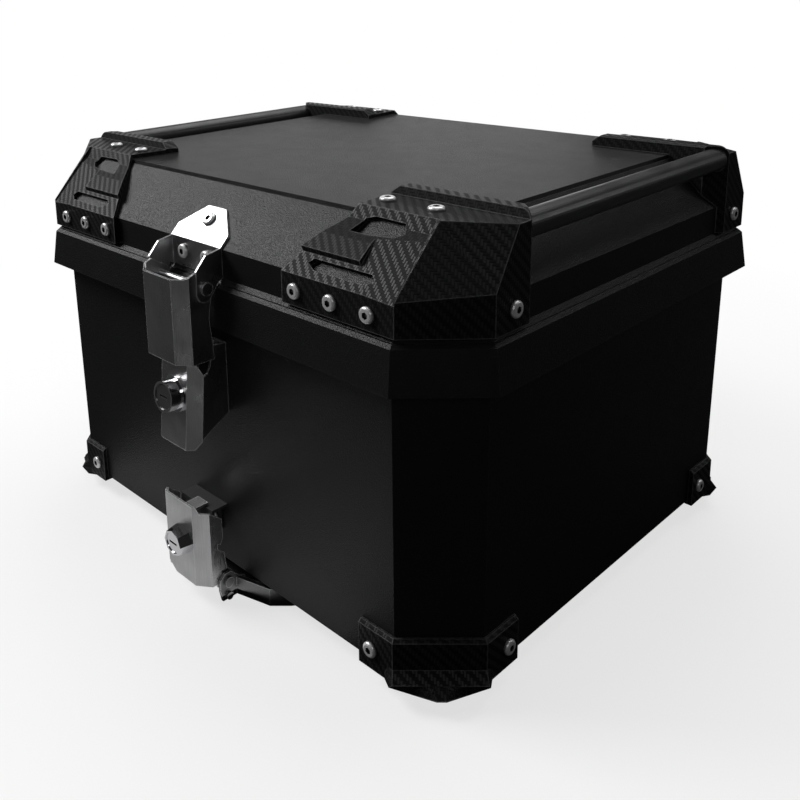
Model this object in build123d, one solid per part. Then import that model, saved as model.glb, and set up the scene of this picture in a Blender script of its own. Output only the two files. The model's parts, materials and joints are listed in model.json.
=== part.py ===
from build123d import *
import math
import os

os.makedirs("parts", exist_ok=True)

# Millimetres. X is across the case, the latch side faces -Y, Z is up.
# Everything is drawn with the tub floor's underside at zero and raised by DECK_HEIGHT on export,
# which puts the origin on the underside of the base plate, at the middle of the case.

# Driving dimensions
RIM_WIDTH = 430.0  # across the lid skirt
RIM_DEPTH = 376.8
RIM_CHAMFER = 40.0  # leg of the skirt's corner chamfer
SKIRT_BOTTOM = 178.0
SKIRT_TOP = 203.0
SKIRT_FLARE = 3.5
SKIRT_GAP = 11.7  # from the skirt's outside to the tub's outside
TUB_CHAMFER = 36.4  # leg of the tub's corner chamfer at the skirt
TUB_TAPER = 1.7  # the floor is this much smaller on each side than the tub at the skirt
TUB_TOP = 199.4
WALL = 3.0
FLOOR = 4.0
MAT_T = 3.0
MAT_GAP = 5.5  # keeps the mat clear of the nuts on the walls
LID_INSET = 9.0  # from the skirt's outside to the lid's upper wall
CREASE = 226.5  # height where the lid's wall turns into the 45 degree slope
PANEL_TOP = 260.5
PANEL_STEP = 2.5
LEDGE_W = 9.0  # how far the ledge over the seal reaches in from the lid's wall
GUARD_GAP = 4.0  # how far the lid guards stand off the lid's walls
RAIL_X = 202.2
RAIL_Z = 259.0
RAIL_R = 7.8
RAIL_WALL = 1.6
RAIL_END = 107.0  # where the rail leaves the guard
RAIL_REACH = 116.0  # how far its bore goes in
LATCH_X = 4.0  # the latch and the lever sit slightly off centre
SHEET = 1.5  # stainless sheet
DECK_HEIGHT = 14.0

# Fasteners
SCREW_R = 2.5
HEAD_R = 4.8
HEAD_H = 2.4
HEAD_ROUND = 1.6
SOCKET_AF = 3.6
SOCKET_DEPTH = 1.5
HOLE_R = 2.7
NUT_AF = 8.0
NUT_H = 4.0
NUT_BORE = 2.55
NUT_GAP = 0.08

# Worked out from the above
SHRINK = 2 - math.sqrt(2)  # how much a chamfer's leg loses for each millimetre of inward offset
RIM_HX = RIM_WIDTH / 2
RIM_HY = RIM_DEPTH / 2
LID_HX = RIM_HX - LID_INSET
LID_HY = RIM_HY - LID_INSET - 0.4
LID_LEG = RIM_CHAMFER - SHRINK * LID_INSET
SLOPE_TOP = PANEL_TOP - PANEL_STEP
SLOPE_RUN = SLOPE_TOP - CREASE
FRONT_GUARD_Y = LID_HY + GUARD_GAP
SIDE_GUARD_X = LID_HX + GUARD_GAP + 0.6


def ring(half_x, half_y, leg, z):
    """A chamfered rectangle at height z."""
    points = [
        (half_x - leg, -half_y), (half_x, leg - half_y), (half_x, half_y - leg), (half_x - leg, half_y),
        (leg - half_x, half_y), (-half_x, half_y - leg), (-half_x, leg - half_y), (leg - half_x, -half_y),
    ]
    return Plane.XY.offset(z) * make_face(Polyline(*points, close=True))


def inset(section, amount, z=None):
    """The same chamfered rectangle, offset inwards, at the same or another height."""
    half_x, half_y, leg, height = section
    return (half_x - amount, half_y - amount, leg - SHRINK * amount, height if z is None else z)


def stack(sections):
    """Ruled solid through chamfered rectangles listed from the bottom up."""
    solid = None
    for low, high in zip(sections, sections[1:]):
        layer = loft([ring(*low), ring(*high)], ruled=True)
        solid = layer if solid is None else solid + layer
    return solid


def block(low, high):
    """Box between two corners."""
    size = [b - a for a, b in zip(low, high)]
    return Pos(*low) * Box(*size, align=(Align.MIN, Align.MIN, Align.MIN))


def rod(start, direction, radius, length):
    """Cylinder from a point along a direction."""
    plane = Plane(origin=start, z_dir=direction)
    return plane * Cylinder(radius, length, align=(Align.CENTER, Align.CENTER, Align.MIN))


def hex_bar(start, direction, across_flats, length):
    plane = Plane(origin=start, z_dir=direction)
    return plane * extrude(RegularPolygon(across_flats / 2, 6, major_radius=False), length)


def side_plate(profile, x_low, x_high):
    """Outline in Y and Z, extruded along X."""
    face = Plane.YZ.offset(x_low) * make_face(Polyline(*profile, close=True))
    return extrude(face, x_high - x_low, dir=(1, 0, 0))


def plan_plate(profile, z_low, z_high):
    """Outline in X and Y, extruded upwards."""
    face = Plane.XY.offset(z_low) * make_face(Polyline(*profile, close=True))
    return extrude(face, z_high - z_low, dir=(0, 0, 1))


def front_plate(profile, y_low, y_high):
    """Outline in X and Z, extruded along Y."""
    face = Plane.XZ.offset(-y_low) * make_face(Polyline(*profile, close=True))
    return extrude(face, y_high - y_low, dir=(0, 1, 0))


def cut_beyond(shape, point, normal):
    """Removes everything on the far side of a plane."""
    big = 600.0
    plane = Plane(origin=point, z_dir=normal)
    return shape - plane * Box(big, big, big, align=(Align.CENTER, Align.CENTER, Align.MIN))


def cut_through(shape, a, b, c, inside):
    """Cuts by the plane through three points, keeping the side that holds a given point."""
    a, b, c = Vector(*a), Vector(*b), Vector(*c)
    normal = (b - a).cross(c - a)
    if normal.dot(Vector(*inside) - a) > 0:
        normal = normal * -1
    return cut_beyond(shape, a, normal)


def at(spot, direction, distance):
    return tuple(s + d * distance for s, d in zip(spot, direction))


def backwards(direction):
    return tuple(-d for d in direction)


def screw(spot, outward, grip):
    """Button head socket screw; spot is under the head, grip the length of its shank."""
    head = rod(spot, outward, HEAD_R, HEAD_H)
    head = fillet(head.edges().sort_by(lambda e: Vector(*outward).dot(e.center()))[-1], HEAD_ROUND)
    socket = hex_bar(at(spot, outward, HEAD_H - SOCKET_DEPTH), outward, SOCKET_AF, 2)
    return head + rod(spot, backwards(outward), SCREW_R, grip) - socket


def nut(spot, inward):
    """Hex nut bearing on a surface at spot, standing off along inward."""
    return hex_bar(spot, inward, NUT_AF, NUT_H) - rod(spot, inward, NUT_BORE, NUT_H)


def hole(spot, outward, depth, radius=HOLE_R):
    return rod(at(spot, outward, 1.0), backwards(outward), radius, depth + 1.0)


def group(shapes):
    return Compound(children=[solid for shape in shapes for solid in shape.solids()])


def less(shape, cutters):
    for cutter in cutters:
        shape = shape - cutter
    return shape


def mirror_x(shape):
    return mirror(shape, about=Plane.YZ)


def mirror_y(shape):
    return mirror(shape, about=Plane.XZ)


def four_corners(shape):
    """A front right shape and its three mirror images."""
    rear = mirror_y(shape)
    return {
        "front_right": shape,
        "front_left": mirror_x(shape),
        "rear_right": rear,
        "rear_left": mirror_x(rear),
    }


# Sections of the tub and the lid, from the bottom up
TUB_AT_SKIRT = (RIM_HX - SKIRT_GAP, RIM_HY - SKIRT_GAP, TUB_CHAMFER, SKIRT_BOTTOM)
TUB_FLOOR = inset(TUB_AT_SKIRT, TUB_TAPER, 0.0)
TUB_EDGE = inset(TUB_AT_SKIRT, TUB_TAPER * (SKIRT_BOTTOM - TUB_TOP) / SKIRT_BOTTOM, TUB_TOP)
SKIRT_LOW = (RIM_HX, RIM_HY, RIM_CHAMFER, SKIRT_BOTTOM)
SKIRT_HIGH = inset(SKIRT_LOW, SKIRT_FLARE, SKIRT_TOP)
SHOULDER = inset(SKIRT_HIGH, 2.2, SKIRT_TOP + 2.0)
LID_WALL = (LID_HX, LID_HY, LID_LEG, CREASE)
LID_SLOPE = (LID_HX - SLOPE_RUN, LID_HY - SLOPE_RUN, LID_LEG - SHRINK * SLOPE_RUN, SLOPE_TOP)
STRIP_FOOT = (LID_HX + 2.6, LID_HY + 2.6, LID_LEG + SHRINK * 2.6, SKIRT_TOP + 2.2)
STRIP_HEAD = (LID_HX, LID_HY, LID_LEG, SKIRT_TOP + 4.8)


def tub_wall_y(z):
    """Y of the tub's front face at a height."""
    return -(TUB_FLOOR[1] + TUB_TAPER * z / SKIRT_BOTTOM)


# Screw places
GUARD_FRONT_X = (100.5, 129.0, 156.5)
GUARD_FRONT_Z = 217.0
GUARD_TOP_X = (126.0, 161.0)
GUARD_TOP_Y = 133.0
GUARD_TOP_Z = 264.0
GUARD_SIDE_Y = 130.5
GUARD_SIDE_Z = 219.5
FOOT_T = 3.5
FOOT_SCREW_X = 151.0
FOOT_SCREW_Y = 121.0
FOOT_SCREW_Z = 11.2


def guard_screw_spots():
    """Spots on the front right lid guard: (under the head, outward, metal and plastic thickness)."""
    spots = [((x, -FRONT_GUARD_Y, GUARD_FRONT_Z), (0, -1, 0), GUARD_GAP + WALL) for x in GUARD_FRONT_X]
    top_grip = GUARD_TOP_Z - PANEL_TOP + WALL
    spots += [((x, -GUARD_TOP_Y, GUARD_TOP_Z), (0, 0, 1), top_grip) for x in GUARD_TOP_X]
    side = (SIDE_GUARD_X, -GUARD_SIDE_Y, GUARD_SIDE_Z)
    return spots + [(side, (1, 0, 0), SIDE_GUARD_X - LID_HX + WALL)]


def foot_screw_spots():
    """Spots on the front right bottom guard."""
    front = (FOOT_SCREW_X, -TUB_FLOOR[1] - FOOT_T, FOOT_SCREW_Z)
    side = (TUB_FLOOR[0] + FOOT_T, -FOOT_SCREW_Y, FOOT_SCREW_Z)
    return [(front, (0, -1, 0), FOOT_T + WALL), (side, (1, 0, 0), FOOT_T + WALL)]


def flipped(spots, sx, sy):
    return [((p[0] * sx, p[1] * sy, p[2]), (n[0] * sx, n[1] * sy, n[2]), t) for p, n, t in spots]


def everywhere(spots):
    return [s for sx in (1, -1) for sy in (1, -1) for s in flipped(spots, sx, sy)]


def screw_holes(spots):
    return [hole(p, n, t + 1.0) for p, n, t in spots]


def screws_and_nuts(spots):
    screws = [screw(p, n, t + NUT_H + 0.5) for p, n, t in spots]
    nuts = [nut(at(p, n, -t - NUT_GAP), backwards(n)) for p, n, t in spots]
    return group(screws), group(nuts)


# Lid hinges at the rear
HINGE_Y = RIM_HY + 6.2
HINGE_Z = SKIRT_BOTTOM - 5.5
HINGE_X = 110.0
KNUCKLE_R = 4.0
HINGE_PIN_R = 2.0
HINGE_W = 60.0
KNUCKLE_W = 18.0  # each of the two end knuckles
LEAF_GAP = 0.2  # between a leaf and the wall behind it
TUB_LEAF_DROP = 44.0  # from the pin to the tub leaf's lower edge
LEAF_SCREW_X = 18.0
LEAF_SCREW_LOW_Z = HINGE_Z - 32.0
LEAF_SCREW_HIGH_Z = SKIRT_TOP - 11.0


def skirt_y(z):
    """How far out the lid's skirt reaches in Y at a height."""
    return RIM_HY - SKIRT_FLARE * (z - SKIRT_BOTTOM) / (SKIRT_TOP - SKIRT_BOTTOM)


SKIRT_NORMAL = tuple(Vector(0, SKIRT_TOP - SKIRT_BOTTOM, SKIRT_FLARE).normalized())


def hinge_spots(low):
    """Screw spots of both hinges, in the tub-side leaf or the lid-side leaf."""
    if low:
        y = -tub_wall_y(HINGE_Z) + LEAF_GAP + SHEET
        z, outward, grip = LEAF_SCREW_LOW_Z, (0, 1, 0), y + tub_wall_y(LEAF_SCREW_LOW_Z) + WALL
    else:
        z, outward, grip = LEAF_SCREW_HIGH_Z, SKIRT_NORMAL, 0.25 + SHEET + WALL
        y = skirt_y(z) + (0.1 + SHEET) / SKIRT_NORMAL[1]
    places = [side * HINGE_X + offset for side in (1, -1) for offset in (LEAF_SCREW_X, -LEAF_SCREW_X)]
    return [((x, y, z), outward, grip) for x in places]


def knuckles(x_ranges):
    shapes = [rod((a, HINGE_Y, HINGE_Z), (1, 0, 0), KNUCKLE_R, b - a) for a, b in x_ranges]
    return shapes[0] if len(shapes) == 1 else shapes[0] + shapes[1]


def hinge_tub_leaf():
    """Leaf on the tub's back wall, cranked out to the two end knuckles."""
    half = HINGE_W / 2
    wall = -tub_wall_y(HINGE_Z) + LEAF_GAP
    shelf_top = HINGE_Z - KNUCKLE_R
    leaf = block((-half, wall, HINGE_Z - TUB_LEAF_DROP), (half, wall + SHEET, shelf_top))
    shelf = block((-half, wall, shelf_top - SHEET), (half, HINGE_Y + 1, shelf_top))
    ends = [(-half, -half + KNUCKLE_W), (half - KNUCKLE_W, half)]
    risers = [block((a, HINGE_Y - 2, shelf_top - SHEET), (b, HINGE_Y + 2, HINGE_Z - 2)) for a, b in ends]
    leaf = leaf + shelf + risers[0] + risers[1] + knuckles(ends)
    return leaf - rod((-half - 1, HINGE_Y, HINGE_Z), (1, 0, 0), HINGE_PIN_R + 0.05, HINGE_W + 2)


def hinge_lid_leaf():
    """Leaf on the back of the skirt, with the middle knuckle."""
    half = HINGE_W / 2
    inner = half - KNUCKLE_W - 0.5
    back = RIM_HY + LEAF_GAP
    low, high = SKIRT_BOTTOM + 1, SKIRT_TOP
    leaf = side_plate([(skirt_y(low) + 0.1, low), (skirt_y(low) + 0.1 + SHEET, low),
                       (skirt_y(high) + 0.1 + SHEET, high), (skirt_y(high) + 0.1, high)], -half, half)
    web = side_plate([(back, SKIRT_BOTTOM + 2), (back, HINGE_Z + 1), (HINGE_Y, HINGE_Z + 1),
                      (HINGE_Y, HINGE_Z + 3.5), (back + SHEET, SKIRT_BOTTOM + 2)], -inner, inner)
    leaf = leaf + web + knuckles([(-inner, inner)])
    return leaf - rod((-half - 1, HINGE_Y, HINGE_Z), (1, 0, 0), HINGE_PIN_R, HINGE_W + 2)


def hinge_pin():
    pin = rod((-HINGE_W / 2 - 1, HINGE_Y, HINGE_Z), (1, 0, 0), HINGE_PIN_R, HINGE_W + 2)
    starts = (-HINGE_W / 2 - 1.3, HINGE_W / 2 + 0.3)
    caps = [rod((x, HINGE_Y, HINGE_Z), (1, 0, 0), HINGE_PIN_R + 1.0, 1.0) for x in starts]
    return pin + caps[0] + caps[1]


def pair(shape, x):
    return group([Pos(x, 0, 0) * shape, Pos(-x, 0, 0) * shape])


# Tub, mat and seal
def body_shell(extra_holes):
    """Tub with a flat floor, chamfered corners and a slightly tapered wall."""
    outer = stack([TUB_FLOOR, TUB_EDGE])
    outer = chamfer(outer.faces().sort_by(Axis.Z)[0].edges(), 1.2)
    inner = stack([inset(TUB_FLOOR, WALL, FLOOR), inset(TUB_EDGE, WALL, TUB_TOP + 1)])
    return less(outer - inner, extra_holes)


def floor_mat():
    return stack([inset(TUB_FLOOR, WALL + MAT_GAP, FLOOR), inset(TUB_FLOOR, WALL + MAT_GAP, FLOOR + MAT_T)])


def lid_seal():
    """Square rubber ring under the lid's ledge, resting on the tub's edge."""
    low = TUB_TOP + 0.02
    outer = stack([inset(TUB_EDGE, -2.5, low), inset(TUB_EDGE, -2.5, SKIRT_TOP - 1)])
    inner = stack([inset(TUB_EDGE, WALL + 1.5, low - 1), inset(TUB_EDGE, WALL + 1.5, SKIRT_TOP)])
    return outer - inner


# Lid
def lid_shell(extra_holes):
    """Skirt, shoulder groove, upright wall, 45 degree slopes and a raised top panel."""
    outer = stack([SKIRT_LOW, SKIRT_HIGH, SHOULDER])
    strip_start = inset(STRIP_FOOT, 0, SKIRT_TOP - 2)
    outer = outer + stack([strip_start, STRIP_FOOT, STRIP_HEAD, LID_WALL, LID_SLOPE])
    panel = inset(LID_SLOPE, 0.4, SLOPE_TOP - 1)
    outer = outer + stack([panel, inset(panel, 0.8, PANEL_TOP)])
    groove_outer = inset(SHOULDER, 1.4, SKIRT_TOP + 0.8)
    groove = stack([groove_outer, inset(groove_outer, 0, SKIRT_TOP + 3)])
    groove = groove - stack([inset(STRIP_FOOT, 0, SKIRT_TOP), inset(STRIP_FOOT, 0, SKIRT_TOP + 4)])
    outer = outer - groove
    ledge = SKIRT_TOP - 1.0
    skirt_foot = inset(SKIRT_LOW, WALL, SKIRT_BOTTOM - 1)
    skirt_in = stack([skirt_foot, inset(SKIRT_LOW, WALL + SKIRT_FLARE, ledge)])
    mouth = stack([inset(LID_WALL, LEDGE_W, ledge - 1), inset(LID_WALL, LEDGE_W, ledge + 5)])
    slope_shift = WALL * (math.sqrt(2) - 1)
    ceiling = PANEL_TOP - WALL
    run_in = ceiling - (CREASE - slope_shift)
    upper = stack([
        inset(LID_WALL, WALL, ledge + WALL),
        inset(LID_WALL, WALL, CREASE - slope_shift),
        inset(LID_WALL, WALL + run_in, ceiling),
    ])
    return less(outer - skirt_in - mouth - upper, extra_holes)


def lid_envelope(gap=0.0):
    """Solid the size of the lid's outside, used to hollow the guards."""
    lower = inset(STRIP_HEAD, -gap, SKIRT_TOP - 5)
    wall = inset(LID_WALL, -gap)
    slope = inset(LID_SLOPE, -gap, SLOPE_TOP)
    body = stack([lower, wall, slope])
    return body + stack([inset(LID_SLOPE, 0.4, SLOPE_TOP - 1), inset(LID_SLOPE, 1.2, PANEL_TOP)])


# Lid corner guard, front right
GUARD_BOTTOM = 208.0
GUARD_SHELF = 227.0  # top of the upright front band
GUARD_INNER_X = 89.5
GUARD_TAB_X = 118.0
GUARD_TOP = GUARD_TOP_Z
GUARD_LIP = 235.5
GUARD_LIP_END = 142.5
BAR_TOP = 269.0
BAR_FRONT_Y = -118.0
APEX = (176.5, -149.5, 263.6)
GUARD_CORNER = 36.0  # leg of the guard's own corner chamfer


def guard_block():
    """Upright prism of the guard's plan outline."""
    side = SIDE_GUARD_X
    plan = [
        (GUARD_INNER_X, -FRONT_GUARD_Y), (side - GUARD_CORNER, -FRONT_GUARD_Y),
        (side, GUARD_CORNER - FRONT_GUARD_Y), (side, -117.5), (198, -RAIL_END),
        (114, -RAIL_END), (GUARD_TAB_X, -147.5),
    ]
    return plan_plate(plan, GUARD_BOTTOM, BAR_TOP)


def guard_face():
    """Stepped front of the guard: upright band, ledge, the lip over it and the facets behind."""
    base = [(-FRONT_GUARD_Y, GUARD_BOTTOM), (-FRONT_GUARD_Y, GUARD_SHELF), (-161.5, 250.3), (-152.5, 256.5),
            (-147.5, GUARD_TOP), (-RAIL_END, GUARD_TOP), (-RAIL_END, GUARD_BOTTOM)]
    lip = [(-172.5, GUARD_LIP), (-173.8, GUARD_LIP + 5.5), (-164.5, 248.6), (-158.5, 252.4),
           (-158.5, GUARD_LIP)]
    base = side_plate(base, GUARD_INNER_X - 1, APEX[0])
    lip = side_plate(lip, GUARD_INNER_X - 1, GUARD_LIP_END)
    valley_start = (GUARD_LIP_END, -163, 248.6)
    valley_top = (174, -157, 253.3)
    valley_foot = (174, -176, 233.3)
    return cut_through(base, valley_start, valley_top, valley_foot, (100, -160, 240)) + lip


def guard_windows():
    """D-shaped window in the tab and the slot in the ledge, both cut square to the lid's slope."""
    window = [(122, -7), (127, 3.4), (134, 5.5), (155, 5), (158, -1.4), (153, -5), (136, -7)]
    slot = [(106, 0), (109, 3.2), (152.5, 3.2), (156, 0), (151, -3.5), (113, -3.5)]
    lean = (0, -math.sqrt(0.5), math.sqrt(0.5))
    up = (0, math.sqrt(0.5), math.sqrt(0.5))
    shapes = []
    for outline, middle in ((window, (0, -156, 257)), (slot, (0, -177, 233.5))):
        plane = Plane(origin=middle, x_dir=(1, 0, 0), z_dir=lean)
        face = plane * make_face(Polyline(*outline, close=True))
        shapes.append(extrude(face, 12, dir=lean) + extrude(face, 12, dir=backwards(lean)))
    return shapes


def guard_corner():
    """Faceted corner under the apex, in a front and a rear part that meet below one edge."""
    side = SIDE_GUARD_X
    low_front = (side - GUARD_CORNER, -FRONT_GUARD_Y, 227.6)
    low_side = (side, GUARD_CORNER - FRONT_GUARD_Y, 231.5)
    shoulder = (side, -129.5, 261.5)
    shape = block((side - GUARD_CORNER, -FRONT_GUARD_Y, GUARD_BOTTOM), (side, -RAIL_END, GUARD_TOP))
    rearward = (APEX[1] - low_side[1], low_side[0] - APEX[0], 0)
    front = cut_beyond(shape, APEX, rearward)
    front = cut_through(front, low_front, low_side, APEX, (190, -150, 215))
    front = cut_through(front, low_front, APEX, (APEX[0] - 20, APEX[1], APEX[2]), (190, -150, 215))
    rear = cut_beyond(shape, APEX, backwards(rearward))
    return front + cut_through(rear, low_side, APEX, shoulder, (190, -130, 215))


def guard_bar():
    """Raised bar along the guard's inner edge, rounded over at the rail."""
    foot = GUARD_TOP - 6
    profile = [(BAR_FRONT_Y, foot), (BAR_FRONT_Y, GUARD_TOP), (BAR_FRONT_Y + 1.5, BAR_TOP),
               (-RAIL_END - 1, BAR_TOP), (-RAIL_END, BAR_TOP - 1), (-RAIL_END, foot)]
    bar = side_plate(profile, 110, SIDE_GUARD_X)
    edge = bar.edges().filter_by(Axis.Y).group_by(Axis.Z)[-1].sort_by(Axis.X)[-1]
    bar = fillet(edge, 7.0)
    return cut_beyond(bar, (114, 0, GUARD_TOP), (-5, 0, 7))


def lid_guard():
    shape = guard_face() + guard_corner() + guard_bar()
    shape = shape & guard_block()
    shape = less(shape, guard_windows())
    shape = shape - lid_envelope(0.02)
    shape = shape - rod((RAIL_X, -RAIL_REACH, RAIL_Z), (0, 1, 0), RAIL_R + 0.05, RAIL_REACH)
    shape = less(shape, screw_holes(guard_screw_spots()))
    return shape.solids().sort_by(SortBy.VOLUME)[-1]


def rail():
    """Round tube between two guards, seated in their bores."""
    half = RAIL_REACH - 0.05
    tube = rod((RAIL_X, -half, RAIL_Z), (0, 1, 0), RAIL_R, 2 * half)
    return tube - rod((RAIL_X, -half - 1, RAIL_Z), (0, 1, 0), RAIL_R - RAIL_WALL, 2 * half + 2)


# Bottom corner guard, front right
FOOT_TOP = 26.0
FOOT_END_X = 141.5
FOOT_END_Y = -111.5
FOOT_BOTTOM = -2.0

# Half outlines of the toe at three heights: (along the corner face from its middle, outward from it)
TOE_LEVELS = (
    (-4.5, ((2.8, 10.9), (28.8, 0.0), (31.0, -8.0), (20.0, -14.0))),
    (1.0, ((2.8, 5.2), (27.2, 5.2), (31.0, -5.0), (20.0, -14.0))),
    (7.0, ((2.8, 0.0), (26.4, 0.0), (30.0, -3.7), (20.0, -14.0))),
)


def toe():
    """Pointed foot that flares out of the guard's corner face."""
    hx, hy, leg, _ = inset(TUB_FLOOR, -FOOT_T)
    middle = (hx - leg / 2, leg / 2 - hy)
    layers = []
    for z, half in TOE_LEVELS:
        outline = [(-u, n) for u, n in reversed(half)] + list(half)
        turned = [((u + n) / math.sqrt(2), (u - n) / math.sqrt(2)) for u, n in outline]
        points = [(middle[0] + x, middle[1] + y) for x, y in turned]
        layers.append(Plane.XY.offset(z) * make_face(Polyline(*points, close=True)))
    return loft(layers[:2], ruled=True) + loft(layers[1:], ruled=True)


def bottom_guard():
    """Band round the tub's bottom corner, turned under the floor, with a pointed toe."""
    hx, hy, leg, _ = TUB_FLOOR
    out = inset(TUB_FLOOR, -FOOT_T)
    band = stack([inset(out, 0, FOOT_BOTTOM), inset(out, 0, FOOT_TOP - 2), inset(out, 2, FOOT_TOP)])
    corner = block((FOOT_END_X, -hy - 20, -20), (hx + 20, FOOT_END_Y, FOOT_TOP + 5))
    corner = cut_through(corner, (FOOT_END_X, -hy + 3, 0), (hx - 3, FOOT_END_Y, 0), (hx - 3, FOOT_END_Y, 9),
                         (hx, -hy, 0))
    shape = (band & corner) + toe()
    shape = shape - stack([inset(TUB_FLOOR, -0.02, 0.0), inset(TUB_EDGE, -0.02)])
    return less(shape, screw_holes(foot_screw_spots()))


# Latch: lid bracket, hasp and its pin
EAR_HALF = 26.0
PIN_Y = -192.5
PIN_Z = 204.3
PIN_R = 2.5
PIN_CAP_R = 4.2
PIN_CAP_T = 1.5
BRACKET_GAP = 0.1  # between the lid bracket and the lid
BRACKET_Y = -(LID_HY + BRACKET_GAP)
BRACKET_LOW_Z = 208.2
HASP_FRONT = -211.0
HASP_HALF = 24.2
CHANNEL_FLAT = 14.75  # half width of a channel's flat front
CHANNEL_BACK = 7.0  # how far the facets run back
HASP_BACK = -185.5
HASP_BOTTOM = 156.5
HASP_TOP = 216.0
BRACKET_SCREW_Z = 218.6
BRACKET_SCREW_X = 12.0
SLOPE_SCREW = 16.5  # up the slope from the bend


def slope_plane():
    """Plane on the lid's front slope, origin on the crease, Y up the slope."""
    lean = (0, -math.sqrt(0.5), math.sqrt(0.5))
    return Plane(origin=(LATCH_X, -LID_HY, CREASE), x_dir=(1, 0, 0), z_dir=lean)


def bracket_screw_spots():
    front = BRACKET_Y - SHEET
    grip = SHEET + BRACKET_GAP + WALL
    places = (LATCH_X - BRACKET_SCREW_X, LATCH_X + BRACKET_SCREW_X)
    spots = [((x, front, BRACKET_SCREW_Z), (0, -1, 0), grip) for x in places]
    plane = slope_plane()
    spot = plane.from_local_coords(Vector(1.0, SLOPE_SCREW, BRACKET_GAP + SHEET))
    return spots + [(tuple(spot), tuple(plane.z_dir), grip)]


def lid_bracket():
    """One bent sheet: upright plate, pointed plate up the slope and two ears for the hasp's pin."""
    left, right = LATCH_X - EAR_HALF, LATCH_X + EAR_HALF
    plate = block((left, BRACKET_Y - SHEET, BRACKET_LOW_Z), (right, BRACKET_Y, CREASE + 1))
    plane = slope_plane()
    outline = [(-EAR_HALF, -0.3), (-EAR_HALF, 9), (-8, 26), (10, 26), (EAR_HALF, 9), (EAR_HALF, -0.3)]
    face = plane.offset(BRACKET_GAP) * make_face(Polyline(*outline, close=True))
    upper = extrude(face, SHEET, dir=tuple(plane.z_dir))
    back = BRACKET_Y
    ear = [(back, BRACKET_LOW_Z), (back - 4, 206), (-187.0, 200.5), (-190.0, 196.6), (-193.5, 195.5),
           (-197.5, 197), (-199.6, 201), (-199.4, 216.5), (-191.5, 225.3), (back, CREASE + 1)]
    ears = [side_plate(ear, left, left + SHEET), side_plate(ear, right - SHEET, right)]
    shape = plate + upper + ears[0] + ears[1]
    shape = shape - rod((left - 1, PIN_Y, PIN_Z), (1, 0, 0), PIN_R, 2 * EAR_HALF + 2)
    return less(shape, screw_holes(bracket_screw_spots()))


def hasp_pin():
    left, right = LATCH_X - EAR_HALF, LATCH_X + EAR_HALF
    pin = rod((left - 0.6, PIN_Y, PIN_Z), (1, 0, 0), PIN_R, 2 * EAR_HALF + 1.2)
    starts = (left - PIN_CAP_T - 0.1, right + 0.1)
    caps = [rod((x, PIN_Y, PIN_Z), (1, 0, 0), PIN_CAP_R, PIN_CAP_T) for x in starts]
    return pin + caps[0] + caps[1]


def channel(front, half, flat, back, z_low, z_high):
    """Bent channel open to the rear: flat front, two facets and two side walls."""

    def outline(inner):
        edge = half - inner
        nose = front + inner
        step = inner * 0.35  # keeps the facets' sheet about as thick as the walls
        bend = nose + CHANNEL_BACK - step
        right = [(flat - step, nose), (edge, bend), (edge, back)]
        return [(-x, y) for x, y in reversed(right)] + right

    outer = plan_plate([(LATCH_X + x, y) for x, y in outline(0)], z_low, z_high)
    inner = [(LATCH_X + x, y) for x, y in outline(SHEET)]
    inner = [(inner[0][0], back + 5)] + inner[1:-1] + [(inner[-1][0], back + 5)]
    return outer - plan_plate(inner, z_low - 1, z_high + 1)


def trim_sides(shape, profile, x_half=60.0):
    """Keeps what lies inside an outline in Y and Z."""
    return shape & side_plate(profile, LATCH_X - x_half, LATCH_X + x_half)


def hasp():
    """Latch flap: a channel that hangs from the pin and covers the lock bracket's top."""
    shape = channel(HASP_FRONT, HASP_HALF, CHANNEL_FLAT, HASP_BACK, HASP_BOTTOM, HASP_TOP)
    profile = [
        (HASP_FRONT - 1, HASP_BOTTOM), (-187.5, HASP_BOTTOM), (-190.0, 183), (-189.4, 190), (-187.2, 199),
        (-186.2, 203), (-187.2, 208.5), (-193, 211.5), (-199, 215.4), (-206.5, 212.2),
        (HASP_FRONT - 1, 212),
    ]
    shape = trim_sides(shape, profile)
    return shape - rod((LATCH_X - EAR_HALF, PIN_Y, PIN_Z), (1, 0, 0), PIN_R + 0.05, 2 * EAR_HALF)


# Lock bracket and its lock; the bracket's front and the lock lean back at the top
LOCK_FRONT = -203.6
LOCK_LEAN = -4.85
LOCK_HALF = 22.0
LOCK_X = LATCH_X + 1.5
LOCK_Z = 131.0
LOCK_TOP = 166.0
LOCK_BOTTOM = 96.0
LOCK_BACK = -176.7
BARREL_R = 10.2
BARREL_LENGTH = 9.6
THREAD_R = 9.0
FACE_R = 8.6  # black face of the latch's lock
FACE_T = 1.0
FACE_SUNK = 0.6  # how far the lock's face sits behind the barrel's rim
LOCK_NUT_AF = 20.0
PLUG_R = 7.0
CAM_T = 2.0
RIVET_SPOTS = ((-14.5, 157.0), (14.5, 157.0), (-14.5, 122.0), (14.5, 122.0))

# Lock bolt: slides sideways on two posts, driven by the cam's pin, through the keeper's hole
CRANK_R = 6.0
CRANK_PIN_R = 1.5
BOLT_TRAVEL = CRANK_R * math.sqrt(2)  # for a quarter turn of the plug
CAM_BACK = LOCK_FRONT + 7.6
BOLT_GAP = 0.6  # between the cam and the bolt, and from the bolt to the crank pin's end
BOLT_FRONT = CAM_BACK + BOLT_GAP
BOLT_T = 2.0
POST_R = 1.5
POST_X = (LATCH_X - 7.5, LATCH_X + 7.5)
POST_Z = 148.0
FINGER_Z = 162.5
FINGER = 3.0
BAR_RIGHT = LATCH_X - 8.5
TONGUE_LEFT = BAR_RIGHT + BOLT_TRAVEL + 0.7
TONGUE_T = 2.0


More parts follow.
